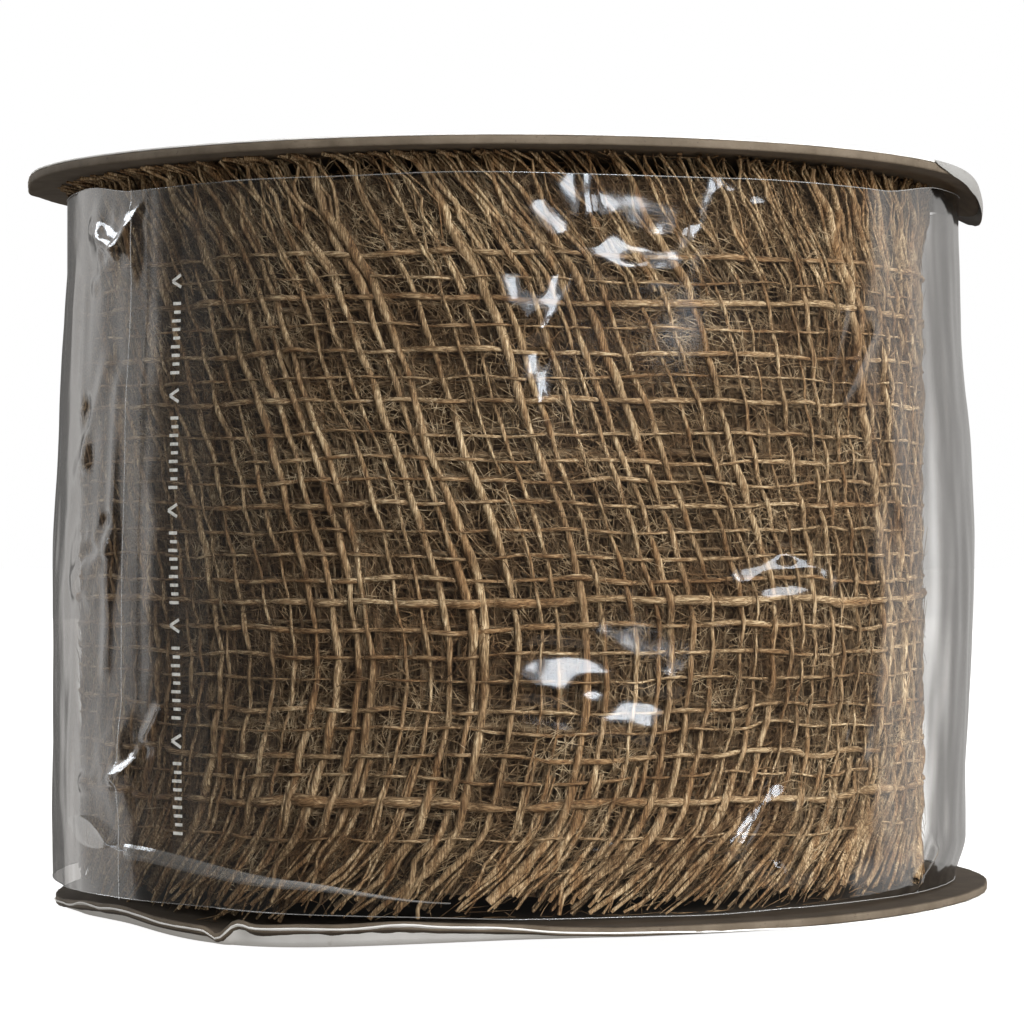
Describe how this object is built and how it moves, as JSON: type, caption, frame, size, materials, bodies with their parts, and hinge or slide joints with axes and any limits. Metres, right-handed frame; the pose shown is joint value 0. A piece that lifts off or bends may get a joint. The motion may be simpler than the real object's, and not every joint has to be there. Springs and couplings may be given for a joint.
{
  "type": "ribbon spool",
  "caption": "Woven ribbon wound on a paper core between two round card flanges, in a clear film cover with a flap that lifts and reseals.",
  "frame": {"origin": "centre of the bottom face, on the spool's axis", "axes": "+Z along the spool's axis, from the face that it stands on to the top flange; -Y is the front, with the lift flap to the left of it"},
  "size_m": [0.0921, 0.0922, 0.0684],
  "materials": {
    "core_paper": "matte",
    "glue": "satin",
    "facing_paper": "satin",
    "grey_board": "matte",
    "tape": "satin",
    "burlap": "matte",
    "film": "gloss",
    "adhesive": "satin",
    "white_ink": "satin"
  },
  "bodies": {
    "spool": {"core_inner_ply": "core_paper", "core_middle_ply": "core_paper", "core_outer_ply": "core_paper", "bottom_glue_ring": "glue", "top_glue_ring": "glue", "bottom_flange_facing": "facing_paper", "bottom_flange_board": "grey_board", "top_flange_board": "grey_board", "top_flange_facing": "facing_paper", "starter_tape": "tape", "burlap_ribbon": "burlap"},
    "cover": {"cover_wrap": "film", "reseal_adhesive": "adhesive"},
    "flap": {"lift_flap": "film", "flap_legend": "white_ink"}
  },
  "joints": [
    {"name": "cover_turn", "type": "hinge", "parent": "spool", "child": "cover", "pos_m": [0, 0, 0.0342], "axis": [0, 0, 1], "continuous": true},
    {"name": "flap_lift", "type": "hinge", "parent": "cover", "child": "flap", "pos_m": [-0.0257, -0.0354, 0.0342], "axis": [0, 0, 1], "range_deg": [0, 120]}
  ]
}
